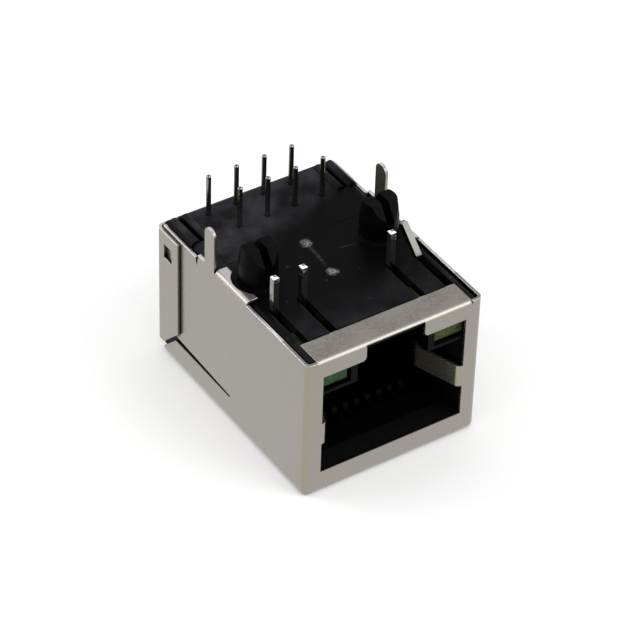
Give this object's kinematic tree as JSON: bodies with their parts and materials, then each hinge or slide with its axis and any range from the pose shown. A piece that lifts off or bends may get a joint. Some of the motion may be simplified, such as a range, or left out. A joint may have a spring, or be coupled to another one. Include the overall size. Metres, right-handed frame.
{
  "type": "rj45 board jack",
  "caption": "Shielded modular board jack with a latch slot, indicator lamps beside it, contact wires in combs, split board pegs and staggered board pins.",
  "frame": {"origin": "middle of the footprint on the resting face, the outer face of the shell's top panel", "axes": "+X to the right seen from the plug mouth, +Y from the mouth to the rear, +Z towards the circuit board the jack is soldered to"},
  "size_m": [0.0164, 0.021, 0.0169],
  "materials": {
    "shield_nickel": "satin nickel plating on thin sheet, bright at the cut edges and folds",
    "housing_black": "black moulded plastic with a soft sheen",
    "carrier_black": "black moulded plastic with a soft sheen",
    "board_green": "green solder resist over glass-fibre board",
    "contact_gold": "thin gold flash over spring bronze",
    "pin_tin": "bright tin plating",
    "lead_tin": "solder-dipped, slightly uneven",
    "lamp_green": "dark green tinted clear resin",
    "lamp_yellow": "dark olive-yellow tinted clear resin",
    "core_ferrite": "dark grey ferrite with a thin coat",
    "wire_copper": "enamelled copper wire",
    "chip_black": "black glazed chip",
    "chip_beige": "fired ceramic"
  },
  "bodies": {
    "root": {"shield": "shield_nickel", "housing": "housing_black", "contact_carrier": "carrier_black", "module_carrier": "carrier_black", "circuit_board": "board_green", "contact_1": "contact_gold", "contact_2": "contact_gold", "contact_3": "contact_gold", "contact_4": "contact_gold", "contact_5": "contact_gold", "contact_6": "contact_gold", "contact_7": "contact_gold", "contact_8": "contact_gold", "board_pin_1": "pin_tin", "board_pin_2": "pin_tin", "board_pin_3": "pin_tin", "board_pin_4": "pin_tin", "board_pin_5": "pin_tin", "board_pin_6": "pin_tin", "board_pin_7": "pin_tin", "board_pin_8": "pin_tin", "lamp_left": "lamp_green", "lamp_right": "lamp_yellow", "lamp_lead_1": "lead_tin", "lamp_lead_2": "lead_tin", "lamp_lead_3": "lead_tin", "lamp_lead_4": "lead_tin", "core_1": "core_ferrite", "core_2": "core_ferrite", "core_3": "core_ferrite", "core_4": "core_ferrite", "winding_1": "wire_copper", "winding_2": "wire_copper", "winding_3": "wire_copper", "winding_4": "wire_copper", "resistor_1": "chip_black", "resistor_2": "chip_black", "resistor_3": "chip_black", "resistor_4": "chip_black", "capacitor": "chip_beige"}
  },
  "joints": []
}
